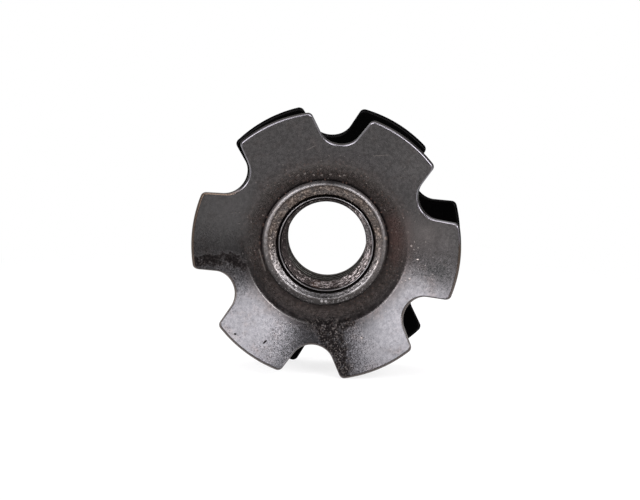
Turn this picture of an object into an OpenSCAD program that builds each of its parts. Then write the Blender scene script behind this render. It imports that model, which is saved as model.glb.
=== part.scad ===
// Headset star nut: a threaded barrel with a dished spring star held under a rolled lip at each end.
// It lies on the rims of its stars with the bolt axis level, and the bolt enters from the -Y side.

/* [Bore and thread] */
// Minor diameter of the thread, the narrowest part of the bore
thread_minor_d = 6.8; // [6:0.1:7.4]
// Length of full thread in the middle of the bore
thread_len = 3.3; // [2:0.1:5]
// Widening of the bore, on the radius, from the thread to its flared ends
flare_w = 0.7; // [0.4:0.05:0.85]

/* [Barrel] */
// Width of the thin ring round each flared end of the bore
ring_w = 0.12; // [0.08:0.01:0.2]
// Width of the groove between that ring and the lip
groove_w = 0.18; // [0.1:0.01:0.3]
// Depth of the groove below the top of the ring
groove_h = 0.45; // [0.2:0.05:0.6]
// Wall of the necks that pass through the stars
neck_wall = 0.5; // [0.35:0.05:0.8]
// Overhang of the rolled lips beyond the necks
lip_over = 0.55; // [0.4:0.05:1]
// Height of a rolled lip above its star
lip_h = 0.8; // [0.7:0.05:1.2]
// Radius of the roll along the outer edge of a lip
lip_roll = 0.5; // [0.3:0.05:0.6]
// Radius under the outer edge of a lip, where it curls down to its star
lip_under = 0.2; // [0.1:0.05:0.3]
// Depth of the slope inside a lip
slope_h = 0.35; // [0.2:0.05:0.6]
// Depth of the step from that slope down to the thin ring
step_h = 0.25; // [0.1:0.05:0.5]
// Step from the necks out to the spool that keeps the stars apart
spool_step = 0.8; // [0.5:0.05:1.6]
// Length of the spool between the stars
spool_len = 7.65; // [6:0.05:14]
// Bevel on both ends of the spool
spool_bevel = 0.3; // [0.1:0.05:0.45]

/* [Stars] */
// Diameter over the petal tips of a star
star_d = 23.6; // [22.5:0.1:26]
// Thickness of the spring sheet
sheet_t = 0.5; // [0.4:0.05:0.8]
// Angle that the petals rise from the flat hub
dish_deg = 22; // [10:1:30]
// Diameter of the crease where the petals rise
crease_d = 14.3; // [13.5:0.1:15]
// Inner radius of the bend along the crease
bend_r = 0.4; // [0.2:0.05:0.8]
// Number of petals on each star
petals = 6; // [5:1:6]
// Diameter of the circle that the notch floors touch
notch_floor_d = 17.56; // [17:0.02:18.4]
// Radius of the round floor of a notch
notch_r = 1.9; // [1.5:0.05:2.1]
// Angle that each side of a notch opens from the middle of the notch
flare_deg = 29; // [20:1:32]
// Radius of the rounded petal corners
corner_r = 0.48; // [0.2:0.02:0.6]
// Turn of the upper star against the lower one, seen from the bolt's side
star_turn = -5.4; // [-10:0.1:10]

/* [Fits] */
// Gap all round between a neck and the hole of its star
seat_gap = 0.05; // [0.02:0.01:0.15]

/* [Hidden] */
$fn = 96;

// Radii of the barrel, from the thread outwards
bore_r = thread_minor_d / 2;
flare_r = bore_r + flare_w;
ring_r = flare_r + ring_w;
mouth_r = ring_r + groove_w;
neck_r = mouth_r + neck_wall;
lip_r = neck_r + lip_over;
spool_r = neck_r + spool_step;

// Heights along the bolt axis, from the middle of the barrel
spool_z = spool_len / 2;
seat_z = spool_z + sheet_t;
end_z = seat_z + lip_h;
slope_foot_z = end_z - slope_h;
ring_z = slope_foot_z - step_h;
groove_z = ring_z - groove_h;

// The section of a petal, with its front face starting at the sharp crease
crease_r = crease_d / 2;
bend_run = bend_r * tan(dish_deg / 2);
bend_foot_r = crease_r - bend_run;
tip_r = star_d / 2 - sheet_t * sin(dish_deg);
petal_len = (tip_r - crease_r) / cos(dish_deg);

// The outline of a notch in the plane of the sheet, from the crease outwards
// Its arcs cross its straight sides at a slight angle
meet_deg = 10;
notch_x = (notch_floor_d / 2 - crease_r) / cos(dish_deg) + notch_r;
side_dir = [cos(flare_deg), sin(flare_deg)];
side_normal = [-sin(flare_deg), cos(flare_deg)];
side_gap = notch_r * cos(meet_deg);
side_base = [notch_x, 0] + side_gap * side_normal;
floor_end = side_base - notch_r * sin(meet_deg) * side_dir;
apex_x = notch_x - side_gap / sin(flare_deg);

// The point where a notch side runs out through the rim of the front face
base_flat = [crease_r + side_base[0] * cos(dish_deg), side_base[1]];
dir_flat = [side_dir[0] * cos(dish_deg), side_dir[1]];
a_quad = dir_flat * dir_flat;
b_quad = base_flat * dir_flat;
c_quad = base_flat * base_flat - tip_r * tip_r;
side_len = (sqrt(b_quad * b_quad - a_quad * c_quad) - b_quad) / a_quad;
rim_point = side_base + side_len * side_dir;

// The rounding of a petal corner, which also crosses the rim at a slight angle
rim_turn = atan2(rim_point[1], tip_r * cos(dish_deg));
rim_normal = [cos(rim_turn), sin(rim_turn)];
corner_deg = 90 + flare_deg - rim_turn;
rim_meet_deg = 23;
corner_foot = rim_point - corner_r * cos(rim_meet_deg) / tan(corner_deg / 2) * side_dir;
corner_mid = corner_foot + corner_r * cos(meet_deg) * side_normal;
cut_over = 2 * sheet_t;

steel = [0.24, 0.235, 0.24];
dark_steel = [0.2, 0.19, 0.19];

// Half of the barrel's section, from the thread round to the spool, with the lip still square
function half_section() = [
    [bore_r, thread_len / 2],
    [flare_r, ring_z],
    [ring_r, ring_z],
    [ring_r, groove_z],
    [mouth_r, groove_z],
    [mouth_r, slope_foot_z],
    [lip_r - lip_roll, end_z],
    [lip_r, end_z],
    [lip_r, seat_z],
    [neck_r, seat_z],
    [neck_r, spool_z],
    [spool_r - spool_bevel, spool_z],
    [spool_r, spool_z - spool_bevel]
];

function flipped(point) = [point[0], -point[1]];

function mirrored(points) = [for (i = [len(points) - 1:-1:0]) flipped(points[i])];

// What a roll round the origin takes off an outer corner
module rolled_corner(roll) {
    difference() {
        square(2 * roll);
        circle(r = roll);
    }
}

module lip_corners() {
    translate([lip_r - lip_roll, end_z - lip_roll]) rolled_corner(lip_roll);
    translate([lip_r - lip_under, seat_z + lip_under]) mirror([0, 1]) rolled_corner(lip_under);
}

module barrel_section() {
    difference() {
        polygon(concat(half_section(), mirrored(half_section())));
        lip_corners();
        mirror([0, 1]) lip_corners();
    }
}

// Flat hub, bend and petal of a star, with the hub's back face at height 0
module star_section() {
    hole_r = neck_r + seat_gap;
    bend_mid = [bend_foot_r, sheet_t + bend_r];
    reach = 2 * (bend_r + sheet_t);
    translate([hole_r, 0]) square([bend_foot_r - hole_r, sheet_t]);
    translate(bend_mid) intersection() {
        difference() {
            circle(r = bend_r + sheet_t);
            circle(r = bend_r);
        }
        polygon([[0, 0], [0, -reach], [reach * sin(dish_deg), -reach * cos(dish_deg)]]);
    }
    translate([crease_r, sheet_t]) rotate(dish_deg)
        translate([bend_run, -sheet_t]) square([petal_len - bend_run, sheet_t]);
}

// The corner of wedge that the round floor of a notch leaves in the sheet
module floor_fill() {
    difference() {
        polygon([[apex_x, 0], floor_end, [notch_x, 0], flipped(floor_end)]);
        translate([notch_x, 0]) circle(r = notch_r);
    }
}

// A wedge that widens round the petal corners, with a round floor
module notch_outline() {
    side = [corner_foot, corner_mid, corner_mid + (corner_r + cut_over) * rim_normal];
    difference() {
        polygon([[apex_x, 0], side[0], side[1], side[2], flipped(side[2]), flipped(side[1]), flipped(side[0])]);
        translate(corner_mid) circle(r = corner_r);
        translate(flipped(corner_mid)) circle(r = corner_r);
        floor_fill();
    }
}

// The punch that cuts a notch square through the raised sheet
module notch_punch() {
    translate([crease_r, 0, sheet_t]) rotate([0, -dish_deg, 0])
        translate([0, 0, -2 * sheet_t]) linear_extrude(4 * sheet_t) notch_outline();
}

// A star lies flat here, with its petals rising and one notch towards -Y
module star() {
    difference() {
        rotate_extrude() star_section();
        for (i = [0:petals - 1])
            rotate(i * 360 / petals - 90) notch_punch();
    }
}

// Turns the bolt axis level, with the bolt's side facing -Y
module laid_down() {
    rotate([90, 0, 0]) children();
}

module threaded_barrel() {
    color(dark_steel) laid_down() rotate_extrude() barrel_section();
}

module upper_star() {
    color(steel) laid_down() translate([0, 0, spool_z]) rotate(star_turn) star();
}

module lower_star() {
    color(steel) laid_down() translate([0, 0, -seat_z]) star();
}

threaded_barrel();
upper_star();
lower_star();
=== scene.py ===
"""Headset star nut: two dished spring stars held on a threaded barrel by its rolled lips."""

import math

import bpy
import numpy as np
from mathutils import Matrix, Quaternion, Vector


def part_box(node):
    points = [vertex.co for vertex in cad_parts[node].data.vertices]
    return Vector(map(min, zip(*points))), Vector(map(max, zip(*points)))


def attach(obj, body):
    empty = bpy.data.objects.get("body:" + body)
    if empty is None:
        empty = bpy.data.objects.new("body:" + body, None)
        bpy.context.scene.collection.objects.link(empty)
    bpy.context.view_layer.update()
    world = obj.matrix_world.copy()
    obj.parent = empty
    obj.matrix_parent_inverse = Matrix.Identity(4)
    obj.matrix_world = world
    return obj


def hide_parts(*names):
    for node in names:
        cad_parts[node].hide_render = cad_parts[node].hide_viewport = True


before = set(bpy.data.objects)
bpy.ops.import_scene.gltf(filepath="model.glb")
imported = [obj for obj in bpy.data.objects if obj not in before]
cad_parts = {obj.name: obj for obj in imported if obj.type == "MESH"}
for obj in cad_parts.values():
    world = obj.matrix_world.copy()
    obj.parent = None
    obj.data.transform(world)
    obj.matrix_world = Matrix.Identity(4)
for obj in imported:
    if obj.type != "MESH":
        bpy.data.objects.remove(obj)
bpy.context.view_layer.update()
scene = bpy.context.scene
scene.view_settings.view_transform = "Standard"

MM = 0.001

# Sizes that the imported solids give, along the bolt axis Y and out from it
BARREL_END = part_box("threaded_barrel")[1].y
SPOOL_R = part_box("threaded_barrel")[1].x
STAR_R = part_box("upper_star")[1].x
SPOOL_END = -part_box("upper_star")[1].y
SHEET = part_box("lower_star")[1].y - SPOOL_END

# The stars: six petals that rise from a flat hub, with a round-floored notch between each two
PETALS = 6
DISH = math.radians(22)
CREASE_R = 7.15 * MM
BEND_R = 0.4 * MM
STAR_HOLE_R = 4.95 * MM
NOTCH_FLOOR_R = 8.78 * MM
NOTCH_R = 1.9 * MM
NOTCH_FLARE = math.radians(29)
CORNER_R = 0.48 * MM
UPPER_TURN = math.radians(-5.4)
FRONT_ROLL = 0.09 * MM
BACK_ROLL = 0.05 * MM
# The front face already lifts a little before the crease, and levels with the petals further out
LIFT = 0.07 * MM
LIFT_START_R = 5.7 * MM
LIFT_END_R = 11.0 * MM

# The barrel: a spool with a neck and a rolled lip at each end, and a thread that is flared at its ends
NECK_R = 4.9 * MM
LIP_R = 5.5 * MM
MOUTH_R = 4.37 * MM
SLOPE_DEPTH = 0.46 * MM
LIP_ROLL = 0.42 * MM
SPOOL_BEVEL = 0.3 * MM
THREAD_MINOR_R = 3.51 * MM
THREAD_MAJOR_R = 4.02 * MM
THREAD_PITCH = 1.25 * MM
THREAD_HALF = 1.65 * MM
FUNNEL_R = 3.91 * MM
FUNNEL_DEPTH = 0.82 * MM
FUNNEL_STEPS = 7
# The bore sits a little to the left of the stars' middle
BORE_SHIFT = -0.09 * MM


class Bench:
    """Builds a node tree: add() makes one node, sets it up, feeds its sockets and gives one output."""

    def __init__(self, tree):
        self.tree = tree

    def add(self, kind, sockets=None, out=0, **settings):
        node = self.tree.nodes.new(kind)
        for name, value in settings.items():
            setattr(node, name, value)
        for key, value in (sockets or {}).items():
            self.feed(node.inputs[key], value)
        return Wire(self, node.outputs[out]) if node.outputs else None

    def feed(self, socket, value):
        if isinstance(value, Wire):
            self.tree.links.new(value.socket, socket)
        else:
            socket.default_value = value


class Wire:
    """An output socket whose arithmetic adds Math nodes to its tree."""

    def __init__(self, bench, socket):
        self.bench = bench
        self.socket = socket

    def math(self, operation, *others):
        sockets = dict(enumerate((self,) + others))
        return self.bench.add("ShaderNodeMath", sockets, operation=operation)

    def after(self, value, operation):
        return self.bench.add("ShaderNodeMath", {0: value, 1: self}, operation=operation)

    def __add__(self, other):
        return self.math("ADD", other)

    def __radd__(self, other):
        return self.after(other, "ADD")

    def __sub__(self, other):
        return self.math("SUBTRACT", other)

    def __rsub__(self, other):
        return self.after(other, "SUBTRACT")

    def __mul__(self, other):
        return self.math("MULTIPLY", other)

    def __truediv__(self, other):
        return self.math("DIVIDE", other)

    def __rtruediv__(self, other):
        return self.after(other, "DIVIDE")

    def __abs__(self):
        return self.math("ABSOLUTE")

    def root(self):
        return self.math("SQRT")

    def least(self, other):
        return self.math("MINIMUM", other)

    def most(self, other):
        return self.math("MAXIMUM", other)

    def ramp(self, low, high, start=0.0, end=1.0, easing="SMOOTHSTEP"):
        sockets = {"Value": self, "From Min": low, "From Max": high, "To Min": start, "To Max": end}
        return self.bench.add("ShaderNodeMapRange", sockets, interpolation_type=easing)

    def also(self, name):
        """Another output of the same node."""
        return Wire(self.bench, self.socket.node.outputs[name])


def xyz(wire):
    """The three parts of a vector wire."""
    parts = wire.bench.add("ShaderNodeSeparateXYZ", {0: wire})
    return parts, parts.also("Y"), parts.also("Z")


def tint(fac, start, end):
    """Goes from one colour to another as fac goes from 0 to 1."""
    sockets = {"Factor": fac, 6: start, 7: end}
    return fac.bench.add("ShaderNodeMix", sockets, out=2, data_type="RGBA", clamp_factor=True)


def sized_tree(name, sizes):
    """A geometry tree with one named input for each size, and the wires that its inputs give."""
    tree = bpy.data.node_groups.new(name, "GeometryNodeTree")
    tree.interface.new_socket("Geometry", in_out="INPUT", socket_type="NodeSocketGeometry")
    for label, kind in sizes.items():
        tree.interface.new_socket(label, in_out="INPUT", socket_type=kind)
    tree.interface.new_socket("Geometry", in_out="OUTPUT", socket_type="NodeSocketGeometry")
    bench = Bench(tree)
    return bench, bench.add("NodeGroupInput")


def close_tree(bench, shape, finish):
    """Ends a geometry tree with real geometry in its finish."""
    real = bench.add("GeometryNodeRealizeInstances", {"Geometry": shape})
    painted = bench.add("GeometryNodeSetMaterial", {"Geometry": real, "Material": finish})
    bench.add("NodeGroupOutput", {"Geometry": painted})


def run_tree(piece, tree, values):
    """Gives a piece the plain mesh that a geometry tree makes of it at these sizes."""
    maker = piece.modifiers.new("maker", "NODES")
    maker.node_group = tree
    inputs = {s.name: s.identifier for s in tree.interface.items_tree if s.in_out == "INPUT"}
    for label, value in values.items():
        maker[inputs[label]] = value
    graph = bpy.context.evaluated_depsgraph_get()
    shaped = piece.evaluated_get(graph)
    mesh = bpy.data.meshes.new_from_object(shaped, preserve_all_data_layers=True, depsgraph=graph)
    piece.modifiers.clear()
    piece.data = mesh
    mesh.name = piece.name
    return piece


def laid_down(points):
    """Turns points about a standing axis so that the axis lies along Y, with its top towards -Y."""
    return np.stack([points[..., 0], -points[..., 2], points[..., 1]], axis=-1)


def grid_piece(name, points, round_columns, marks):
    """A piece from a grid of points whose rows close on themselves, with a mark on each point."""
    rows, columns = points.shape[:2]
    index = np.arange(rows * columns).reshape(rows, columns)
    below = np.roll(index, -1, axis=0)
    if round_columns:
        left, right = index, np.roll(index, -1, axis=1)
        low_left, low_right = below, np.roll(below, -1, axis=1)
    else:
        left, right = index[:, :-1], index[:, 1:]
        low_left, low_right = below[:, :-1], below[:, 1:]
    faces = np.stack([left, low_left, low_right, right], axis=-1).reshape(-1, 4)
    mesh = bpy.data.meshes.new(name)
    mesh.from_pydata(points.reshape(-1, 3).tolist(), [], faces.tolist())
    mesh.polygons.foreach_set("use_smooth", [True] * len(mesh.polygons))
    for label, values in marks.items():
        mark = mesh.attributes.new(label, "FLOAT", "POINT")
        mark.data.foreach_set("value", np.broadcast_to(values, (rows, columns)).ravel().astype(np.float32))
    piece = bpy.data.objects.new(name, mesh)
    scene.collection.objects.link(piece)
    return piece


# Points of a star's outline on each stretch between the middle of a notch and the middle of a petal
FLOOR_POINTS = 14
SIDE_POINTS = 8
CORNER_POINTS = 8
RIM_POINTS = 16

# Rows of points over a star, from the hole over the front, round the cut edge and along the back
HUB_ROWS = 14
BEND_ROWS = 7
PETAL_ROWS = 15
PETAL_CROWDING = 1.7
FRONT_ROLL_ROWS = 6
BACK_ROLL_ROWS = 5
BACK_PETAL_ROWS = 7
BACK_BEND_ROWS = 5

# Marks of the rows round the cut edge: where it starts, its wall, and its turn to the back
EDGE_MARK = 1.0
WALL_MARK = 2.0
BACK_MARK = 3.0

# Rounds that bring the punch onto the petals, the run that aims a notch's side, and the sectors' weld
PUNCH_ROUNDS = 4
SIDE_RUN = 2 * MM
WELD = 0.002 * MM


def on_petal(along, across):
    """Plan position on the front of the petals of a point in the plane of a notch's punch."""
    reach = CREASE_R + along * math.cos(DISH)
    offset = 0.0
    for _ in range(PUNCH_ROUNDS):
        radius = np.hypot(reach - offset * math.sin(DISH), across)
        offset = ((radius - CREASE_R) * math.tan(DISH) - along * math.sin(DISH)) / math.cos(DISH)
    return np.stack([reach - offset * math.sin(DISH), across + 0 * reach], axis=-1)


def arc(centre, radius, start, end, count):
    turn = np.linspace(start, end, count)
    return centre[0] + radius * np.cos(turn), centre[1] + radius * np.sin(turn)


def half_outline():
    """Plan points of the front edge from the floor of a notch to the middle of a petal."""
    rim_r = STAR_R - SHEET * math.sin(DISH)
    middle = (NOTCH_FLOOR_R - CREASE_R) / math.cos(DISH) + NOTCH_R
    floor = on_petal(*arc((middle, 0.0), NOTCH_R, math.pi, math.pi / 2 + NOTCH_FLARE, FLOOR_POINTS))
    run = SIDE_RUN * np.array([math.cos(NOTCH_FLARE), math.sin(NOTCH_FLARE)])
    foot = np.array([middle - NOTCH_R * math.sin(NOTCH_FLARE), NOTCH_R * math.cos(NOTCH_FLARE)])
    along = on_petal(*(foot + run)) - floor[-1]
    along = along / np.linalg.norm(along)
    inward = np.array([-along[1], along[0]])
    start = floor[-1] + CORNER_R * inward
    ahead = start @ along
    length = math.sqrt(ahead**2 - start @ start + (rim_r - CORNER_R) ** 2) - ahead
    side = floor[-1] + np.linspace(0, length, SIDE_POINTS)[1:, None] * along
    centre = start + length * along
    first = math.atan2(-inward[1], -inward[0])
    last = math.atan2(centre[1], centre[0])
    corner = np.stack(arc(centre, CORNER_R, first, last, CORNER_POINTS), axis=-1)[1:]
    rim = np.stack(arc((0, 0), rim_r, last, math.pi / PETALS, RIM_POINTS), axis=-1)[1:]
    return np.concatenate([floor, side, corner, rim])


def sheet_normal(plan):
    """Unit normals of the petals' front face at plan positions."""
    out = plan / np.linalg.norm(plan, axis=-1, keepdims=True)
    up = np.full(out.shape[:-1] + (1,), math.cos(DISH))
    return np.concatenate([-math.sin(DISH) * out, up], axis=-1)


def lift(radius):
    """Height that pressing left on the front face: it grows towards the crease and fades beyond it."""
    rise = np.clip((radius - LIFT_START_R) / (CREASE_R - LIFT_START_R), 0, 1) ** 2
    fade = np.clip((LIFT_END_R - radius) / (LIFT_END_R - CREASE_R), 0, 1)
    return LIFT * rise * fade**2


def on_front(plan):
    """Points on the front face of the petals, with the back of the hub at height 0."""
    radius = np.linalg.norm(plan, axis=-1, keepdims=True)
    height = SHEET + (radius - CREASE_R) * math.tan(DISH) + lift(radius)
    return np.concatenate([plan, height], axis=-1)


def edge_frame():
    """Front edge of a sector, its outward direction in the sheet, and the sheet's normal there."""
    half = half_outline()
    plan = np.concatenate([half[:0:-1] * [1, -1], half])
    edge = on_front(plan)
    normal = sheet_normal(plan)
    along = np.gradient(edge, axis=0)
    along[0] = [math.sin(math.pi / PETALS), math.cos(math.pi / PETALS), 0]
    along[-1] = [-math.sin(math.pi / PETALS), math.cos(math.pi / PETALS), 0]
    outward = np.cross(along, normal)
    outward /= np.linalg.norm(outward, axis=-1, keepdims=True)
    return edge, outward, normal


def ring(radius, height, turns):
    return np.stack([radius * np.cos(turns), radius * np.sin(turns), height + 0 * turns], axis=-1)


def sector_rows():
    """Rows of points over one sector of a star: front, rolled cut edge and back."""
    edge, outward, normal = edge_frame()
    turns = np.linspace(-math.pi / PETALS, math.pi / PETALS, len(edge))
    foot_r = CREASE_R - BEND_R * math.tan(DISH / 2)
    rows, marks, sides = [], [], []

    def lay(points, mark=0.0, side=0.0):
        rows.append(points)
        marks.append(mark)
        sides.append(side)

    def bend(angle, radius):
        reach = foot_r + radius * math.sin(angle)
        lifted = lift(reach) if radius == BEND_R else 0.0
        return ring(reach, SHEET + BEND_R - radius * math.cos(angle) + lifted, turns)

    def between(start, end, share):
        return start + (end - start) * share

    for radius in np.linspace(STAR_HOLE_R, foot_r, HUB_ROWS):
        lay(ring(radius, SHEET + lift(radius), turns))
    for angle in np.linspace(0, DISH, BEND_ROWS)[1:]:
        lay(bend(angle, BEND_R))
    crease = rows[-1]
    front_end = edge - FRONT_ROLL * outward
    for share in 1 - (1 - np.linspace(0, 1, PETAL_ROWS)[1:]) ** PETAL_CROWDING:
        lay(on_front(between(crease, front_end, share)[:, :2]))
    for angle in np.linspace(0, math.pi / 2, FRONT_ROLL_ROWS)[1:]:
        out = math.sin(angle) * outward + math.cos(angle) * normal
        lay(edge - FRONT_ROLL * (outward + normal) + FRONT_ROLL * out, EDGE_MARK + math.sin(angle))
    back_edge = edge - SHEET * normal
    for angle in np.linspace(math.pi / 2, math.pi, BACK_ROLL_ROWS):
        out = math.sin(angle) * outward + math.cos(angle) * normal
        lay(back_edge - BACK_ROLL * (outward - normal) + BACK_ROLL * out, BACK_MARK)
    back_end = rows[-1]
    back_crease = bend(DISH, BEND_R + SHEET)
    for share in np.linspace(0, 1, BACK_PETAL_ROWS)[1:]:
        points = between(back_end, back_crease, share)
        reach = np.linalg.norm(points[:, :2], axis=-1)
        rise = (reach - np.linalg.norm(back_crease[0, :2])) * math.tan(DISH)
        lay(np.concatenate([points[:, :2], (back_crease[:, 2] + rise)[:, None]], axis=-1), side=1.0)
    for angle in np.linspace(DISH, 0, BACK_BEND_ROWS)[1:]:
        lay(bend(angle, BEND_R + SHEET), side=1.0)
    lay(ring(STAR_HOLE_R, 0.0, turns), side=1.0)
    return np.array(rows), np.array(marks), np.array(sides)


def petal_ring_tree():
    """Repeats a sector round the bolt axis and welds the copies into one sheet."""
    sizes = {"Petals": "NodeSocketInt", "Weld": "NodeSocketFloat", "Finish": "NodeSocketMaterial"}
    bench, given = sized_tree("petal_ring", sizes)
    petals = given.also("Petals")
    points = bench.add("GeometryNodePoints", {"Count": petals})
    turn = bench.add("GeometryNodeInputIndex") * (2 * math.pi / petals)
    turned = bench.add("ShaderNodeCombineXYZ", {"Y": turn})
    placing = {"Points": points, "Instance": given, "Rotation": turned}
    copies = bench.add("GeometryNodeInstanceOnPoints", placing)
    real = bench.add("GeometryNodeRealizeInstances", {"Geometry": copies})
    welded = bench.add("GeometryNodeMergeByDistance", {"Geometry": real, "Distance": given.also("Weld")})
    close_tree(bench, welded, given.also("Finish"))
    return bench.tree


def star_piece(name, back_y, notch_turn, edge_wear_and_light, inner_side, shade_strength, tree, finish):
    """A star with the back of its hub at back_y and one notch turned from the -Z side."""
    rows, marks, sides = sector_rows()
    # On the shaded star the marks of the cut edges are turned down, so its edges get little of the painted
    # wall colour
    marks = np.where(marks < WALL_MARK, marks * edge_wear_and_light, marks)
    # Painted shade: the side that faces the other star, and every cut edge of the shaded star, at the given
    # strength
    in_shadow = np.where(marks > 0, edge_wear_and_light < 1, sides == inner_side) * shade_strength
    turn = notch_turn - math.pi / 2
    cosine, sine = math.cos(turn), math.sin(turn)
    rows = rows @ np.array([[cosine, sine, 0], [-sine, cosine, 0], [0, 0, 1]])
    points = laid_down(rows) + [0, back_y, 0]
    piece = grid_piece(name, points, False, {"cut_edge": marks[:, None], "in_shadow": in_shadow[:, None]})
    run_tree(piece, tree, {"Petals": PETALS, "Weld": WELD, "Finish": finish})
    return piece


BARREL_COLUMNS = 300
THREAD_ROWS = 80
SLOPE_ROWS = 14
SLOPE_CURVE = 1.6
# Degrees of the rows round the lip's roll, from its top over the outside to its underside
ROLL_ROWS = np.arange(92, -45, -6)
LIP_FOOT = 0.3 * MM
# The fine groove, the thin ring and the wide groove of the mouth, as reach and depth in millimetres
RING_POINTS = [
    (3.92, 0.98), (4.02, 0.98), (4.05, 0.80), (4.06, 0.64), (4.085, 0.58), (4.115, 0.56), (4.145, 0.58),
    (4.17, 0.64), (4.18, 0.80), (4.21, 1.00), (4.265, 1.06), (4.32, 1.00), (4.345, 0.70),
]
# The front lip was rolled off centre, with its wide side to the upper left
LIP_SHIFT = (-0.15 * MM, 0.12 * MM)
CROWN_SHIFT = 0.15 * MM
CROWN_R = 5.0 * MM
CROWN_WIDTH = 0.3 * MM
# Dents of the front lip: their depth, where they set in, and waves with a count, a start and a size
LIP_DENTS = 0.02 * MM
DENT_START_R = 4.42 * MM
DENT_FADE = 0.2 * MM
DENT_MEAN = 1.1
DENT_SWING = 0.5
DENT_WAVES = ((5, 0.6, 1.0), (11, 2.1, 0.7), (23, 0.9, 0.5))
# The funnel's steps: the slant of their faces, and where each has an extra row
STEP_SLANT = math.radians(32)
STEP_ROW = 0.6
# The thread's crest and flank as shares of the pitch, its run-out, and where the bore's shift halves
CREST_SHARE = 0.25
FLANK_SHARE = 0.28
RUN_OUT = 0.2 * THREAD_PITCH
SHIFT_FADE = (2.5 * MM, 4.3 * MM)


def mouth_section():
    """Half section from the end of the funnel over the lip to the neck, as reach and height."""
    section = [(reach * MM, BARREL_END - depth * MM) for reach, depth in RING_POINTS]
    for share in np.linspace(0, 1, SLOPE_ROWS, endpoint=False):
        reach = MOUTH_R + share * (LIP_R - LIP_ROLL - MOUTH_R)
        section.append((reach, BARREL_END - SLOPE_DEPTH * (1 - share) ** SLOPE_CURVE))
    for angle in np.radians(ROLL_ROWS):
        reach = LIP_R - LIP_ROLL + LIP_ROLL * math.cos(angle)
        height = BARREL_END - LIP_ROLL + LIP_ROLL * math.sin(angle)
        section.append((reach, height))
    section.append((NECK_R + LIP_FOOT, SPOOL_END + SHEET))
    section.append((NECK_R, SPOOL_END + SHEET))
    return section


def rolled_lip(points):
    """Shifts the front lip off centre and dents it, and leaves what lies below its star as it is."""
    reach = np.hypot(points[..., 0], points[..., 1])
    turn = np.arctan2(points[..., 1], points[..., 0])
    height = points[..., 2]
    above = np.clip((height - SPOOL_END) / SHEET, 0, 1)
    outside = np.clip((reach - THREAD_MINOR_R) / (LIP_R - THREAD_MINOR_R), 0, 1) * above
    crown = np.exp(-(((reach - CROWN_R) / CROWN_WIDTH) ** 2)) * above
    points[..., 0] += LIP_SHIFT[0] * outside
    points[..., 1] += LIP_SHIFT[1] * outside + CROWN_SHIFT * crown
    waves = sum(size * np.sin(count * turn + start) for count, start, size in DENT_WAVES)
    on_face = np.clip((reach - DENT_START_R) / DENT_FADE, 0, 1) * above
    points[..., 2] -= LIP_DENTS * on_face * (DENT_MEAN + DENT_SWING * waves)
    return points


def funnel_section():
    """Half section of the flared end of the bore: rough steps that face the mouth at a slant."""
    run = (BARREL_END - FUNNEL_DEPTH - THREAD_HALF) / FUNNEL_STEPS
    rise = (FUNNEL_R - THREAD_MINOR_R) / FUNNEL_STEPS
    slant = rise * math.tan(STEP_SLANT)
    section = []
    for step in range(FUNNEL_STEPS):
        reach, height = THREAD_MINOR_R + step * rise, THREAD_HALF + (step + 1) * run
        section += [(reach, height - STEP_ROW * run), (reach, height - slant)]
        section += [(reach + rise / 2, height - slant / 2), (reach + rise, height)]
    return section


def barrel_section():
    """The barrel's closed section, up the bore and down the outside, and which of its points are bore."""
    funnel = funnel_section()
    thread = [(THREAD_MINOR_R, height) for height in np.linspace(-THREAD_HALF, THREAD_HALF, THREAD_ROWS)]
    bore = [(reach, -height) for reach, height in reversed(funnel)] + thread + funnel
    mouth = mouth_section()
    spool = [
        (NECK_R, SPOOL_END),
        (SPOOL_R - SPOOL_BEVEL, SPOOL_END),
        (SPOOL_R - 0.25 * SPOOL_BEVEL, SPOOL_END - 0.75 * SPOOL_BEVEL),
        (SPOOL_R, SPOOL_END - 1.2 * SPOOL_BEVEL),
        (SPOOL_R, 0.4 * SPOOL_END),
    ]
    lower = [(reach, -height) for reach, height in reversed(mouth + spool)]
    section = np.array(bore + mouth + spool + lower)
    in_bore = np.arange(len(section)) < len(bore)
    return section, in_bore.astype(float)


def thread_tree():
    """Cuts a helical thread outwards from the wall of the bore."""
    sizes = {
        "Pitch": "NodeSocketFloat",
        "Minor radius": "NodeSocketFloat",
        "Major radius": "NodeSocketFloat",
        "Crest share": "NodeSocketFloat",
        "Flank share": "NodeSocketFloat",
        "Run-out start": "NodeSocketFloat",
        "Run-out end": "NodeSocketFloat",
        "Shift": "NodeSocketFloat",
        "Finish": "NodeSocketMaterial",
    }
    bench, given = sized_tree("thread_cutter", sizes)
    x, y, z = xyz(bench.add("GeometryNodeInputPosition"))
    reach = (x * x + z * z).root()
    turn = x.math("ARCTAN2", z) / (2 * math.pi)
    phase = (y / given.also("Pitch") + turn).math("FRACT")
    from_crest = abs(phase - 0.5)
    crest = given.also("Crest share") / 2
    flank_end = crest + given.also("Flank share")
    full = 1 - abs(y).ramp(given.also("Run-out start"), given.also("Run-out end"))
    depth = (given.also("Major radius") - given.also("Minor radius")) * full
    wall = given.also("Minor radius") + from_crest.ramp(crest, flank_end) * depth
    grow = reach.most(wall) / reach
    shift = given.also("Shift") * (1 - abs(y).ramp(*SHIFT_FADE) * 0.5)
    cut = bench.add("ShaderNodeCombineXYZ", {"X": x * grow + shift, "Y": y, "Z": z * grow})
    in_bore = bench.add("GeometryNodeInputNamedAttribute", {"Name": "bore"}, data_type="FLOAT")
    placing = {"Geometry": given, "Selection": in_bore.math("GREATER_THAN", 0.5), "Position": cut}
    close_tree(bench, bench.add("GeometryNodeSetPosition", placing), given.also("Finish"))
    return bench.tree


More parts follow.
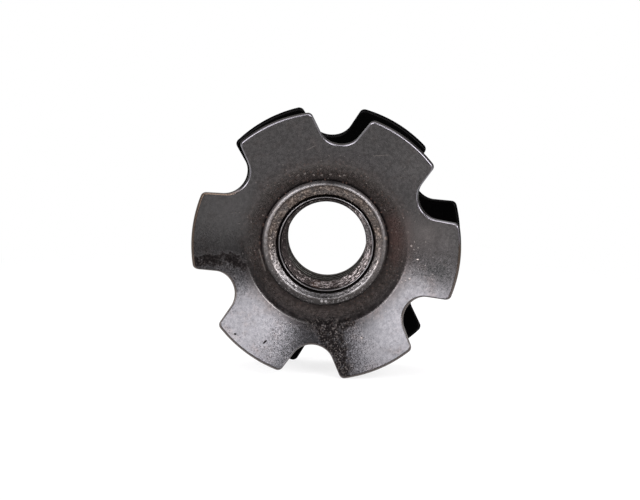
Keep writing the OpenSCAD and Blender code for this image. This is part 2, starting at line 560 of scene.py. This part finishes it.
def barrel_piece(name, finish):
    section, in_bore = barrel_section()
    turns = np.linspace(0, 2 * math.pi, BARREL_COLUMNS, endpoint=False)
    reach, height = section[:, :1], section[:, 1:]
    points = laid_down(rolled_lip(ring(reach, height, turns)))
    marks = {"bore": in_bore[:, None], "section_reach": reach / MM}
    piece = grid_piece(name, points, True, marks)
    sizes = {
        "Pitch": THREAD_PITCH,
        "Minor radius": THREAD_MINOR_R,
        "Major radius": THREAD_MAJOR_R,
        "Crest share": CREST_SHARE,
        "Flank share": FLANK_SHARE,
        "Run-out start": THREAD_HALF - RUN_OUT,
        "Run-out end": THREAD_HALF + RUN_OUT,
        "Shift": BORE_SHIFT,
        "Finish": finish,
    }
    return run_tree(piece, thread_tree(), sizes)


def new_finish(name):
    finish = bpy.data.materials.new(name)
    finish.use_nodes = True
    finish.node_tree.nodes.clear()
    bench = Bench(finish.node_tree)
    spot = bench.add("ShaderNodeTexCoord", out="Object")
    in_mm = bench.add("ShaderNodeMapping", {"Vector": spot, "Scale": (1 / MM, 1 / MM, 1 / MM)})
    return finish, bench, in_mm


def close_finish(bench, sockets):
    coat = bench.add("ShaderNodeBsdfPrincipled", sockets)
    bench.add("ShaderNodeOutputMaterial", {"Surface": coat})


def noise(spot, scale, detail=2.0, roughness=0.5):
    """Cloudy noise, with scale in clouds per millimetre."""
    sockets = {"Vector": spot, "Scale": scale, "Detail": detail, "Roughness": roughness}
    return spot.bench.add("ShaderNodeTexNoise", sockets)


def dots(face, scale, radius, share):
    """Round dots in a random share of the cells of a mesh, with scale in cells per millimetre."""
    sockets = {"Vector": face, "Scale": scale}
    cell = face.bench.add("ShaderNodeTexVoronoi", sockets, voronoi_dimensions="2D")
    chosen = xyz(cell.also("Color"))[0].math("LESS_THAN", share)
    return (1 - cell.ramp(0.4 * radius, radius)) * chosen


def dab(x, z, middle, size, wander):
    """A soft patch round a point of the XZ plane, with an edge that wanders."""
    across, up = x - middle[0], z - middle[1]
    return 1 - ((across * across + up * up).root() + wander * size).ramp(0.4 * size, 1.3 * size)


def stroke(x, z, start, end, width):
    """A straight scratch between two points of the XZ plane."""
    length = math.dist(start, end)
    run = ((end[0] - start[0]) / length, (end[1] - start[1]) / length)
    across, up = x - start[0], z - start[1]
    along = (across * run[0] + up * run[1]).most(0.0).least(length)
    side, rise = across - along * run[0], up - along * run[1]
    return 1 - (side * side + rise * rise).root().ramp(0.3 * width, width)


def grained(spot, scale, tilt):
    """Normals tilted this way and that by a grain, with scale in grains per millimetre."""
    bench = spot.bench
    sockets = {"Vector": spot, "Scale": scale, "Detail": 1.0}
    lean = bench.add("ShaderNodeTexNoise", sockets, out="Color")
    lean = bench.add("ShaderNodeVectorMath", {0: lean, 1: (0.5, 0.5, 0.5)}, operation="SUBTRACT")
    lean = bench.add("ShaderNodeVectorMath", {0: lean, "Scale": tilt}, operation="SCALE")
    plain = bench.add("ShaderNodeNewGeometry", out="Normal")
    tilted = bench.add("ShaderNodeVectorMath", {0: plain, 1: lean}, operation="ADD")
    return bench.add("ShaderNodeVectorMath", {0: tilted}, operation="NORMALIZE")


def bumped(normal, height, depth):
    """Normals roughened further by a height of this depth in millimetres."""
    sockets = {"Height": height, "Strength": 1.0, "Distance": depth * MM, "Normal": normal}
    return normal.bench.add("ShaderNodeBump", sockets, out="Normal")


def band(value, rise, fall):
    """1 between two soft edges, each given by where it starts and where it ends."""
    return value.ramp(*rise) * (1 - value.ramp(*fall))


def any_stroke(x, z, strokes):
    """The strongest of several scratches."""
    mask = stroke(x, z, *strokes[0])
    for ends in strokes[1:]:
        mask = mask.most(stroke(x, z, *ends))
    return mask


# Scratches on the upper star's face and on the front lip, and dark streaks of painted reflection and shade
# on the face
# Each goes from a first to a second point in X and Z, with a width, in millimetres
BLACK_SCRATCHES = [
    ((-5.24, -8.73), (-5.04, -8.55), 0.08),
    ((-7.79, -7.95), (-7.70, -7.96), 0.08),
]
# Painted dark reflections on the petals, and painted shade along the crease below the bore
DARK_STREAKS = [
    ((-11.2, -1.6), (-8.4, -1.45), 0.95),
    ((-8.4, -1.5), (-7.2, -2.1), 0.8),
    ((0.3, -7.4), (0.8, -8.8), 1.8),
    ((1.1, -8.8), (1.8, -11.0), 1.1),
    ((-1.2, -7.15), (2.3, -7.1), 0.6),
]
STREAK_WARP = 2.2
PALE_SCRATCHES = [
    ((-1.9, 8.3), (-1.2, 8.7), 0.035),
    ((3.9, 7.95), (5.2, 8.1), 0.035),
    ((-5.90, -0.63), (-5.31, -2.48), 0.08),
]
LIP_SCRATCHES = [
    ((4.15, 1.30), (4.75, 1.00), 0.12),
    ((-0.28, -4.95), (-0.26, -4.95), 0.16),
    ((0.08, -4.94), (0.10, -4.94), 0.16),
    ((5.20, 0.78), (5.26, 0.74), 0.2),
]

# Bare spots on the upper star's face, in X and Z
PALE_SPOTS = [
    (-2.63, 6.02), (-2.07, 6.19), (-1.26, 6.10), (-0.58, 6.08), (0.16, 6.17), (1.02, 6.04), (1.37, 6.14),
    (7.06, 1.29), (7.40, 0.07), (8.0, -1.1), (7.37, -2.8), (3.3, -8.1),
]
PALE_SPOT_LENGTH = 0.05
PALE_SPOT_SIZE = 0.12

# Patches with a colour of their own, and two of painted shade on the front lip: place in X and Z, and size
WARM_PATCH = ((8.2, 0.9), 3.8)
FADED_PATCH = ((-9.2, 1.8), 6.0)
RED_STAIN = ((6.3, 0.8), 4.8)
RUST_PATCH = ((-0.9, -4.0), 0.9)
GREY_PATCH = ((3.9, 1.2), 2.4)
# Painted shade on the top of the front lip's roll
ROLL_TOP_SHADE_PATCH = ((0.45, 5.3), 1.8)
# Painted shade on the bottom of the front lip
LIP_BOTTOM_SHADE = ((0.1, -4.8), 5.0)

# Patches of painted sheen and painted shade on the upper star's face, which only brighten or darken it:
# place, size and change
SHEEN_AND_SHADE_PATCHES = [
    ((11.2, 0.4), 4.6, 0.5),
    ((6.6, -6.7), 5.0, 0.35),
    ((-3.6, -7.9), 5.0, 0.3),
    ((-6.8, -3.1), 3.4, -0.4),
    ((8.6, -2.2), 2.2, -0.3),
    ((10.1, -2.4), 2.2, -0.4),
    ((8.6, -3.9), 3.0, 0.3),
    ((7.6, 7.4), 4.4, 0.25),
    ((3.4, -6.5), 2.8, -0.35),
]

# Marks on the bolt's side lie under the first of these places along Y, and fade out by the second
FRONT_FADE = (-3.9, -3.7)

OXIDE_METAL = 0.92

# Bands of a star's face out from the bolt axis: where each edge starts and ends
GLOW_BAND = ((6.2, 7.05), (7.08, 7.16))
RIDGE_BAND = ((7.08, 7.12), (7.21, 7.25))
FOOT_BAND = ((6.5, 6.85), (7.04, 7.1))
CALM_BAND = ((6.7, 6.95), (7.3, 7.7))

# Colours of the spring sheet, with a dark and a pale end where a mottle goes between them
SHEET_OXIDE = ((0.0445, 0.0422, 0.0420, 1), (0.066, 0.0625, 0.0622, 1))
SHEET_BROWN = ((0.042, 0.0345, 0.0315, 1), (0.086, 0.071, 0.067, 1))
# A painted cool reflection on the lower half of the face
COOL_REFLECTION = (0.056, 0.062, 0.076, 1)
WARM_GREY = (0.096, 0.087, 0.085, 1)
FADED_GREY = (0.085, 0.082, 0.082, 1)
RED_BROWN = (0.110, 0.064, 0.057, 1)
CREASE_GLOW = (0.12, 0.11, 0.105, 1)
CREASE_SHADE = (0.01, 0.01, 0.01, 1)
# A painted highlight along the ridge of the crease below the bore
RIDGE_HIGHLIGHT = (0.16, 0.154, 0.148, 1)
GRIME_AND_SHADE = (0.005, 0.004, 0.004, 1)
RUST = (0.15, 0.095, 0.078, 1)
BARE_STEEL = (0.22, 0.195, 0.18, 1)
WALL_BROWN = (0.08, 0.058, 0.044, 1)
WALL_HIGHLIGHT = (0.19, 0.182, 0.198, 1)
WALL_DARK = (0.016, 0.014, 0.013, 1)
WALL_LOW = (0.12, 0.10, 0.09, 1)
# Painted shade on the sides of the stars that face each other
SHADE_BLACK = (0.003, 0.003, 0.003, 1)


class Sheet:
    """Places, masks and noises that the marks on a star's sheet share."""

    def __init__(self, bench, spot):
        self.spot = spot
        self.x, y, self.z = xyz(spot)
        self.plan = bench.add("ShaderNodeCombineXYZ", {"X": self.x, "Y": self.z})
        self.reach = (self.x * self.x + self.z * self.z).root()
        self.edge = bench.add("ShaderNodeAttribute", out="Fac", attribute_name="cut_edge")
        # Mask of painted shade on the sides of the stars that face each other
        self.in_shadow = bench.add("ShaderNodeAttribute", out="Fac", attribute_name="in_shadow")
        self.front = (1 - y.ramp(*FRONT_FADE)) * (1 - self.in_shadow.ramp(0.1, 0.5))
        self.low = 1 - self.z.ramp(-5.5, 0.5)
        self.high = 1 - self.low
        self.above_foot = self.z.ramp(-5.0, -3.5)
        self.hub = 1 - self.reach.ramp(5.6, 8.3)
        self.grain = noise(spot, 8.0, 2.0)
        self.cloud = noise(spot, 0.7, 4.0, 0.6)

    def patch(self, place, size):
        return dab(self.x, self.z, place, size, self.cloud) * self.front

    def strokes(self, strokes):
        return any_stroke(self.x, self.z, strokes) * self.front


def sheet_tone(sheet):
    """Mottled oxide, brown on the hub, with its patches, a painted cool reflection on its lower half and
    patches of painted sheen and shade.
    """
    mottle = (noise(sheet.spot, 3.2, 3.0) * 0.6 + sheet.grain * 0.4).ramp(0.38, 0.62)
    colour = tint(mottle, *SHEET_OXIDE)
    # Painted reflection: the lower half is tinted cool
    colour = tint(sheet.low * 0.2, colour, COOL_REFLECTION)
    browned = (sheet.hub + sheet.cloud.ramp(0.5, 0.75) * 0.35).least(1.0)
    colour = tint(browned, colour, tint(mottle, *SHEET_BROWN))
    colour = tint(sheet.patch(*WARM_PATCH), colour, WARM_GREY)
    colour = tint(sheet.patch(*FADED_PATCH) * 0.5, colour, FADED_GREY)
    colour = tint(sheet.patch(*RED_STAIN) * sheet.hub * 0.8, colour, RED_BROWN)
    sheen = 1
    for place, size, change in SHEEN_AND_SHADE_PATCHES:
        sheen = sheen + sheet.patch(place, size) * change
    bench = sheet.spot.bench
    return bench.add("ShaderNodeVectorMath", {0: colour, "Scale": sheen}, operation="SCALE")


def crease_light(sheet, colour):
    """Painted light at the crease: a soft step of light above the bore, petals that start darker below it,
    and a painted highlight on the ridge below it.
    """
    reach, low, front = sheet.reach, sheet.low, sheet.front
    colour = tint(band(reach, *GLOW_BAND) * sheet.high * front * 0.16, colour, CREASE_GLOW)
    outer = reach.ramp(7.22, 7.28) * (1 - reach.ramp(7.26, 8.3, easing="LINEAR")) * front
    colour = tint(outer * (0.1 + low * 0.36), colour, CREASE_SHADE)
    ridge = band(reach, *RIDGE_BAND) * low * (1 - sheet.x.ramp(-2.5, 0.5)) * front
    return tint(ridge * 0.5, colour, RIDGE_HIGHLIGHT)


def dark_streaks(sheet):
    """Mask of the dark streaks, painted dark reflections on the petals and painted shade along the lower
    crease, with edges that wander.
    """
    warp_x, _, warp_z = xyz(noise(sheet.spot, 1.3, 4.0, 0.65).also("Color"))
    x = sheet.x + (warp_x - 0.5) * STREAK_WARP
    z = sheet.z + (warp_z - 0.5) * STREAK_WARP
    return any_stroke(x, z, DARK_STREAKS) * sheet.front


def lip_shade(sheet):
    """Mask of painted shade round the lip and of the painted contact shadow under its upper edge."""
    across, up = sheet.x - LIP_SHIFT[0] / MM, sheet.z - LIP_SHIFT[1] / MM
    contact = 1 - (across * across + up * up).root().ramp(5.55, 5.95)
    ring_shade = (1 - sheet.reach.ramp(5.6, 6.2)) * (0.27 + sheet.front * 0.27)
    return ring_shade.most(contact * sheet.high * sheet.front)


def streak_and_crease_shade(sheet, streak):
    """Mask of the dark streaks, broken into blotches, and of painted shade in the crease at the foot of the
    lower petals.
    """
    blotch = noise(sheet.spot, 2.4, 3.0) * 0.6 + sheet.grain * 0.4 + streak * 0.1
    blotch = blotch.ramp(0.4, 0.58).most(sheet.above_foot * 0.7)
    blotched_streaks = (streak * (1.2 - sheet.above_foot * 0.1)).least(1.0) * blotch
    # Painted shade in the crease at the foot of the lower petals
    foot = band(sheet.reach, *FOOT_BAND) * sheet.low * sheet.front
    return blotched_streaks.most(foot * (0.45 + blotch * 0.5))


def bare_marks(sheet, streak):
    """Mask of the flecks, spots and scratches that show steel."""
    near = (1 - sheet.reach.ramp(6.4, 11.0) * 0.75) * (1 - sheet.low * 0.6)
    specks = dots(sheet.plan, 3.0, 0.2, 0.12) * near * sheet.cloud.ramp(0.38, 0.58)
    sparkle = noise(sheet.spot, 7.0, 2.0).ramp(0.5, 0.72) * streak * (0.45 - sheet.above_foot * 0.3)
    spots = [((x, z), (x + PALE_SPOT_LENGTH, z), PALE_SPOT_SIZE) for x, z in PALE_SPOTS]
    bare = sheet.strokes(spots) * sheet.grain.ramp(0.3, 0.6)
    return (specks.most(sparkle) * 0.7).most(bare * 0.8).most(sheet.strokes(PALE_SCRATCHES) * 0.5)


def cut_walls(sheet, colour):
    """Colours the cut edges, with a painted highlight where they face up and painted shade on the back half
    of those, and paints shade on the sides of the stars that face each other.
    """
    edge = sheet.edge
    lit = (sheet.z + sheet.x * 0.2).ramp(2.4, 3.6)
    # Painted highlight on the walls that face up, and painted shade on the back half of them
    wall = tint(lit, WALL_BROWN, WALL_HIGHLIGHT)
    wall = tint(edge.ramp(2.0, 2.3) * lit, wall, WALL_DARK)
    wall = tint(sheet.low, wall, WALL_LOW)
    on_wall = edge.ramp(1.3, 2.0) * sheet.low + edge.ramp(0.7, 1.4) * sheet.high
    colour = tint(on_wall, colour, wall)
    return tint(sheet.in_shadow * 0.95, colour, SHADE_BLACK)


def oxide_sheet(name, glint):
    """Black oxide on spring sheet: semi-gloss, grainy, brown on the hub and along its cut edges, with
    painted light and shade; a low glint makes a darker, shaded copy.
    """
    finish, bench, spot = new_finish(name)
    sheet = Sheet(bench, spot)
    streak = dark_streaks(sheet)
    pits = dots(sheet.plan, 4.6, 0.4, 0.32) * sheet.low * sheet.cloud.ramp(0.35, 0.6)
    speckle = dots(sheet.plan, 5.2, 0.36, 0.3) * sheet.hub
    scratch = sheet.strokes(BLACK_SCRATCHES)
    dark = (pits * 0.16).most(speckle * 0.45).most(scratch)
    dark = dark.most(streak_and_crease_shade(sheet, streak)).most(lip_shade(sheet))
    rusty = dots(sheet.plan, 3.2, 0.34, 0.3) * sheet.hub * (1 - sheet.low * 0.6) * sheet.cloud.ramp(0.3, 0.5)
    pale = bare_marks(sheet, streak)
    colour = crease_light(sheet, sheet_tone(sheet))
    # Pits, scratches, blotches and the painted shade of the streaks, the crease and the lip, all in one dark
    # colour
    colour = tint(dark, colour, GRIME_AND_SHADE)
    colour = tint(rusty * 0.5, colour, RUST)
    colour = tint(pale, colour, BARE_STEEL)
    calm = 1 - band(sheet.reach, *CALM_BAND).most(sheet.edge.ramp(0.2, 1.0)) * 0.85
    normal = grained(spot, 9.5, calm * 0.16 + streak * 0.4)
    close_finish(bench, {
        "Base Color": cut_walls(sheet, colour),
        "Metallic": OXIDE_METAL,
        "Specular Tint": (glint, glint, glint, 1),
        "Specular IOR Level": glint,
        "Roughness": (0.17 + sheet.grain * 0.08 + dark * 0.25 + sheet.in_shadow * 0.2).least(0.7),
        "Normal": bumped(normal, pale * 0.4 - pits * 0.1 - scratch, 0.026),
    })
    return finish


# Bands of the barrel's section out from the bolt axis: where each edge starts and ends
INNER_LINE = ((3.905, 3.925), (4.03, 4.06))
RING_BAND = ((4.03, 4.06), (4.17, 4.20))
SEAM_BAND = ((4.88, 4.94), (5.0, 5.06))

# Colours of the barrel, with two ends where a colour goes from one to another
MOUTH_BROWN = ((0.108, 0.096, 0.091, 1), (0.128, 0.101, 0.086, 1))
LOWER_SLOPE_SHEEN = ((0.20, 0.193, 0.194, 1), (0.27, 0.258, 0.258, 1))
BORE_BLACK = (0.033, 0.033, 0.030, 1)
FUNNEL_WORN_AND_LIT = ((0.042, 0.036, 0.035, 1), (0.17, 0.147, 0.14, 1))
FUNNEL_RUST = (0.15, 0.085, 0.058, 1)
FUNNEL_BARE_AND_LIT = (0.64, 0.58, 0.57, 1)
FUNNEL_GREY = (0.16, 0.156, 0.156, 1)
# The roll's painted highlight above, brighter towards the middle, and its painted shade below, lighter to
# the right
ROLL_HIGH = ((0.20, 0.192, 0.193, 1), (0.125, 0.117, 0.116, 1))
ROLL_LOW = ((0.032, 0.029, 0.028, 1), (0.060, 0.053, 0.050, 1))
ROLL_SPOT = (0.05, 0.04, 0.036, 1)
ROLL_TOP_SHADE = (0.03, 0.029, 0.03, 1)
FOOT_DARK = (0.05, 0.046, 0.045, 1)
SPOOL_TURNED = ((0.055, 0.050, 0.048, 1), (0.105, 0.098, 0.095, 1))
FLAKE_BARE = ((0.40, 0.33, 0.28, 1), (0.40, 0.385, 0.385, 1))
RING_WORN = ((0.21, 0.20, 0.202, 1), (0.31, 0.30, 0.302, 1))
SOOT_AND_SHADE = (0.015, 0.012, 0.011, 1)


class Turning:
    """Places, masks and noises that the parts of the barrel's surface share."""

    def __init__(self, bench, spot):
        self.spot = spot
        self.x, self.y, self.z = xyz(spot)
        self.reach = bench.add("ShaderNodeAttribute", out="Fac", attribute_name="section_reach")
        self.low = 1 - self.z.ramp(-4.5, 1.5)
        self.grain = noise(spot, 4.5, 4.0, 0.7)
        self.fine = noise(spot, 9.0, 3.0, 0.6)
        self.cloud = noise(spot, 1.2, 4.0)
        self.flake = self.grain * 0.75 + self.fine * 0.25
        along = bench.add("ShaderNodeMapping", {"Vector": spot, "Scale": (0.03, 1, 0.03)})
        self.turned = noise(along, 7.0, 3.0, 0.6)
        self.bore = 1 - self.reach.ramp(4.02, 4.05)
        self.funnel = self.bore * abs(self.y).ramp(1.8, 2.5)
        self.outside = self.reach.ramp(4.95, 5.12)
        self.spool = self.outside * (1 - abs(self.y).ramp(3.8, 4.0))
        self.roll = self.outside - self.spool
        self.slope = self.reach.ramp(4.33, 4.38) * (1 - self.outside)

    def patch(self, place, size):
        return dab(self.x, self.z, place, size, self.cloud)


def worn_and_lit_funnel(turning, colour):
    """Colours the flared bore: dark, with bare flecks, and painted light that thickens them towards the
    lower right.
    """
    funnel = turning.funnel
    wear_and_light = noise(turning.spot, 2.6, 4.0, 0.75) * 1.4 + (turning.fine - 0.5) * 0.6 - 0.2
    # Painted light: more and paler flecks towards the lower right
    wear_and_light = wear_and_light + (turning.x * 0.3 - turning.z * 0.17).ramp(-0.9, 0.95, -0.15, 0.03)
    colour = tint(funnel, colour, tint(wear_and_light.ramp(0.4, 0.56), *FUNNEL_WORN_AND_LIT))
    colour = tint(turning.patch(*RUST_PATCH) * funnel * 0.7, colour, FUNNEL_RUST)
    colour = tint(wear_and_light.ramp(0.55, 0.63) * funnel, colour, FUNNEL_BARE_AND_LIT)
    return tint(turning.patch(*GREY_PATCH) * funnel * 0.8, colour, FUNNEL_GREY)


def roll_light_and_spots(turning):
    """Colour of the rolled edge of the lips: a painted highlight above with dark spots and painted shade on
    its top, and painted shade below.
    """
    spots = noise(turning.spot, 3.0, 4.0, 0.6).ramp(0.45, 0.75)
    high = tint(abs(turning.x).ramp(2.8, 4.8), *ROLL_HIGH)
    high = tint(spots * 0.75, high, ROLL_SPOT)
    high = tint(turning.patch(*ROLL_TOP_SHADE_PATCH) * 0.85, high, ROLL_TOP_SHADE)
    return tint(turning.low, high, tint(turning.x.ramp(0, 5), *ROLL_LOW))


def lip_flakes(turning):
    """Mask of the bare flakes on the lips and of the front lip's scratches."""
    low = turning.low
    share = turning.slope * (0.75 + low * 0.1) + turning.roll * (0.25 + low * 0.2)
    front = 1 - turning.y.ramp(*FRONT_FADE)
    marked = any_stroke(turning.x, turning.z, LIP_SCRATCHES) * front * turning.reach.ramp(4.4, 4.5)
    return (turning.flake.ramp(0.54, 0.64) * share).most(marked * 0.8)


def barrel_soot_and_shade(turning):
    """Mask of the dark pits and the dark seam, and of painted shade in the groove and inside the thin ring.
    """
    reach, low, slope = turning.reach, turning.low, turning.slope
    pitted = (1 - turning.flake.ramp(0.38, 0.44 + (1 - low) * 0.1)) * (slope + 0.15)
    seam = band(reach, *SEAM_BAND) * (1 - low * 0.5)
    # Painted shade in the groove, and in the fine groove inside the thin ring on the left and top only
    groove = reach.ramp(4.15, 4.18) * (1 - (reach - low * 0.06).ramp(4.33, 4.36))
    inner_line = band(reach, *INNER_LINE) * (1 - turning.x.ramp(0.5, 2.5))
    return (pitted * 0.7).most(seam * 0.7).most(groove * 0.8).most(inner_line * 0.9)


def oxide_barrel():
    """Black oxide on turned steel, black in the thread, with bare flecks in the funnel and on the lips, and
    painted highlights and shade on the lips, in the mouth and in the funnel.
    """
    finish, bench, spot = new_finish("oxide_barrel")
    turning = Turning(bench, spot)
    x, low, slope, spool = turning.x, turning.low, turning.slope, turning.spool
    colour = tint(turning.cloud.ramp(0.35, 0.65), *MOUTH_BROWN)
    # Painted highlight: the lower half of the lip's slope is paler
    colour = tint(low * slope, colour, tint(x.ramp(0, 3), *LOWER_SLOPE_SHEEN))
    colour = worn_and_lit_funnel(turning, tint(turning.bore, colour, BORE_BLACK))
    colour = tint(turning.outside, colour, roll_light_and_spots(turning))
    colour = tint(spool, colour, tint(turning.turned.ramp(0.35, 0.65), *SPOOL_TURNED))
    # Painted shade over the bottom of the lip
    colour = tint(turning.patch(*LIP_BOTTOM_SHADE) * turning.reach.ramp(4.5, 4.8) * 0.7, colour, FOOT_DARK)
    colour = tint(lip_flakes(turning), colour, tint(low, *FLAKE_BARE))
    colour = tint(band(turning.reach, *RING_BAND), colour, tint(x.ramp(-2, 3), *RING_WORN))
    colour = tint(barrel_soot_and_shade(turning), colour, SOOT_AND_SHADE)
    normal = grained(spot, 7.0, 0.15 + slope * 0.6 + turning.bore * 0.5)
    close_finish(bench, {
        "Base Color": colour,
        "Metallic": OXIDE_METAL,
        "Specular Tint": (0.35, 0.32, 0.31, 1),
        "Roughness": (0.26 + turning.bore * 0.08 + turning.grain * 0.1 + turning.roll * 0.14).least(0.7),
        "Normal": bumped(normal, turning.grain * slope + turning.turned * spool * 0.08, 0.05),
    })
    return finish


def ray_kinds(bench):
    """Two wires: 1 for what is seen straight, and 1 for what is mirrored or seen through a clear piece."""
    seen = bench.add("ShaderNodeLightPath", out="Is Camera Ray")
    return seen, seen.also("Is Glossy Ray").most(seen.also("Is Transmission Ray"))


WHITE = (1, 1, 1, 1)
# The table reaches far to the sides and back, and ends at a slant in front of the nut
TABLE_HALF = 1.5
TABLE_FRONT = 90 * MM
TABLE_SLANT = math.radians(25)
TABLE_GREY = (0.82, 0.82, 0.82, 1)
# The table is this white under the nut, and quite white from the second distance outwards
TABLE_WHITE = 0.75
TABLE_FADE = (0.02, 0.07)


def floor_piece():
    """A white table under the rims of both stars, which keeps the shadow."""
    upper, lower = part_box("upper_star"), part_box("lower_star")
    pitch = math.atan2(lower[0].z - upper[0].z, lower[0].y - upper[0].y)

    def front_edge(x):
        return (x * math.sin(TABLE_SLANT) - TABLE_FRONT) / math.cos(TABLE_SLANT)

    corners = [(x, front_edge(x), 0) for x in (-TABLE_HALF, TABLE_HALF)]
    corners += [(TABLE_HALF, TABLE_HALF, 0), (-TABLE_HALF, TABLE_HALF, 0)]
    mesh = bpy.data.meshes.new("floor")
    mesh.from_pydata(corners, [], [(0, 1, 2, 3)])
    floor = bpy.data.objects.new("floor", mesh)
    scene.collection.objects.link(floor)
    floor.location = (0, upper[0].y, upper[0].z)
    floor.rotation_euler = (pitch, 0, 0)
    paint = bpy.data.materials.new("white_table")
    paint.use_nodes = True
    paint.node_tree.nodes.clear()
    bench = Bench(paint.node_tree)
    x, y, _ = xyz(bench.add("ShaderNodeTexCoord", out="Object"))
    white_share = (x * x + y * y).root().ramp(*TABLE_FADE, TABLE_WHITE, 1.0)
    matt = bench.add("ShaderNodeBsdfDiffuse", {"Color": TABLE_GREY})
    white = bench.add("ShaderNodeEmission", {"Color": WHITE, "Strength": 1.0})
    seen, mirrored = ray_kinds(bench)
    mixing = {0: seen.most(mirrored) * white_share, 1: matt, 2: white}
    bench.add("ShaderNodeOutputMaterial", {"Surface": bench.add("ShaderNodeMixShader", mixing)})
    mesh.materials.append(paint)


# Each softbox: degrees round from the bolt's side, degrees up, width, height and brightness
SOFTBOX_DISTANCE = 0.5
SOFTBOXES = {
    "right_softbox": (40, 27, 0.38, 0.30, 10.0),
    "left_softbox": (-40, 22, 0.38, 0.36, 8.0),
    "left_panel": (-102, 45, 0.30, 0.50, 2.8),
    "back_panel": (180, 60, 0.55, 0.50, 2.2),
}
LAMP_COLOUR = (0.98, 0.968, 1.0)
# The room's light grows from front to back, and mirrored rays see it white only behind the nut
ROOM_DIMNESS = 0.06
ROOM_COLOUR = (1, 0.94, 0.925, 1)
ROOM_FADE = (-0.25, 0.35)
MIRROR_FADE = (0.3, 0.4)


def studio():
    """A white backdrop behind, a dim room on the camera's side, and softboxes in front, beside and above."""
    world = bpy.data.worlds.new("studio")
    scene.world = world
    world.use_nodes = True
    world.node_tree.nodes.clear()
    bench = Bench(world.node_tree)
    _, y, _ = xyz(bench.add("ShaderNodeTexCoord", out="Generated"))
    behind = y.ramp(*ROOM_FADE, ROOM_DIMNESS, 1.0)
    room = bench.add("ShaderNodeBackground", {"Color": ROOM_COLOUR, "Strength": behind})
    white = bench.add("ShaderNodeBackground", {"Color": WHITE, "Strength": 1.0})
    seen, mirrored = ray_kinds(bench)
    mixing = {0: seen.most(mirrored * y.ramp(*MIRROR_FADE)), 1: room, 2: white}
    bench.add("ShaderNodeOutputWorld", {"Surface": bench.add("ShaderNodeMixShader", mixing)})
    for name, (azimuth, elevation, width, height, brightness) in SOFTBOXES.items():
        softbox(name, math.radians(azimuth), math.radians(elevation), width, height, brightness)


def softbox(name, azimuth, elevation, width, height, brightness):
    """An area lamp that faces the nut."""
    flat = math.cos(elevation)
    place = Vector((math.sin(azimuth) * flat, -math.cos(azimuth) * flat, math.sin(elevation)))
    lamp = bpy.data.lights.new(name, "AREA")
    lamp.shape = "RECTANGLE"
    lamp.size = width
    lamp.size_y = height
    lamp.energy = brightness * width * height * math.pi
    lamp.color = LAMP_COLOUR
    holder = bpy.data.objects.new(name, lamp)
    scene.collection.objects.link(holder)
    holder.location = place * SOFTBOX_DISTANCE
    holder.rotation_euler = place.to_track_quat("Z", "Y").to_euler()
    holder.visible_camera = False


# The camera, from the photograph's view of the upper star's hub
IMAGE_WIDTH = 640
IMAGE_HEIGHT = 500
HUB_PIXEL = (326.5, 244.2)
HUB_SCALE = 11.41 / MM
VIEW_AZIMUTH = math.radians(1.55)
VIEW_ELEVATION = math.radians(7.1)
VIEW_ROLL = math.radians(1.5)
VIEW_DISTANCE = 290 * MM


def photo_camera():
    data = bpy.data.cameras.new("camera")
    camera = bpy.data.objects.new("camera", data)
    scene.collection.objects.link(camera)
    scene.camera = camera
    data.lens = data.sensor_width * HUB_SCALE * VIEW_DISTANCE / IMAGE_WIDTH
    flat = math.cos(VIEW_ELEVATION)
    back = Vector((math.sin(VIEW_AZIMUTH) * flat, -math.cos(VIEW_AZIMUTH) * flat, math.sin(VIEW_ELEVATION)))
    turn = back.to_track_quat("Z", "Y") @ Quaternion((0, 0, 1), VIEW_ROLL)
    aside = (IMAGE_WIDTH / 2 - HUB_PIXEL[0]) / HUB_SCALE
    above = (HUB_PIXEL[1] - IMAGE_HEIGHT / 2) / HUB_SCALE
    hub = Vector((0, -SPOOL_END - SHEET, 0))
    camera.rotation_euler = turn.to_euler()
    camera.location = hub + back * VIEW_DISTANCE + turn @ Vector((aside, above, 0))


photo_camera()
studio()
floor_piece()

# One finish in a lit copy, and a darker, shaded copy for the star that lies in the other's shadow
lit_oxide_sheet = oxide_sheet("lit_oxide_sheet", 0.5)
shaded_oxide_sheet = oxide_sheet("shaded_oxide_sheet", 0.05)
ring_tree = petal_ring_tree()
upper_star = star_piece(
    "upper_spring_star", -SPOOL_END, UPPER_TURN,
    edge_wear_and_light=1.0, inner_side=1, shade_strength=0.6, tree=ring_tree, finish=lit_oxide_sheet,
)
lower_star = star_piece(
    "lower_spring_star", SPOOL_END + SHEET, 0.0,
    edge_wear_and_light=0.1, inner_side=0, shade_strength=1.0, tree=ring_tree, finish=shaded_oxide_sheet,
)
barrel = barrel_piece("swaged_barrel", oxide_barrel())

for piece, node, slot in (
    (upper_star, "upper_star", "star_steel"),
    (lower_star, "lower_star", "star_steel"),
    (barrel, "threaded_barrel", "barrel_steel"),
):
    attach(piece, "root")
    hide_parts(node)
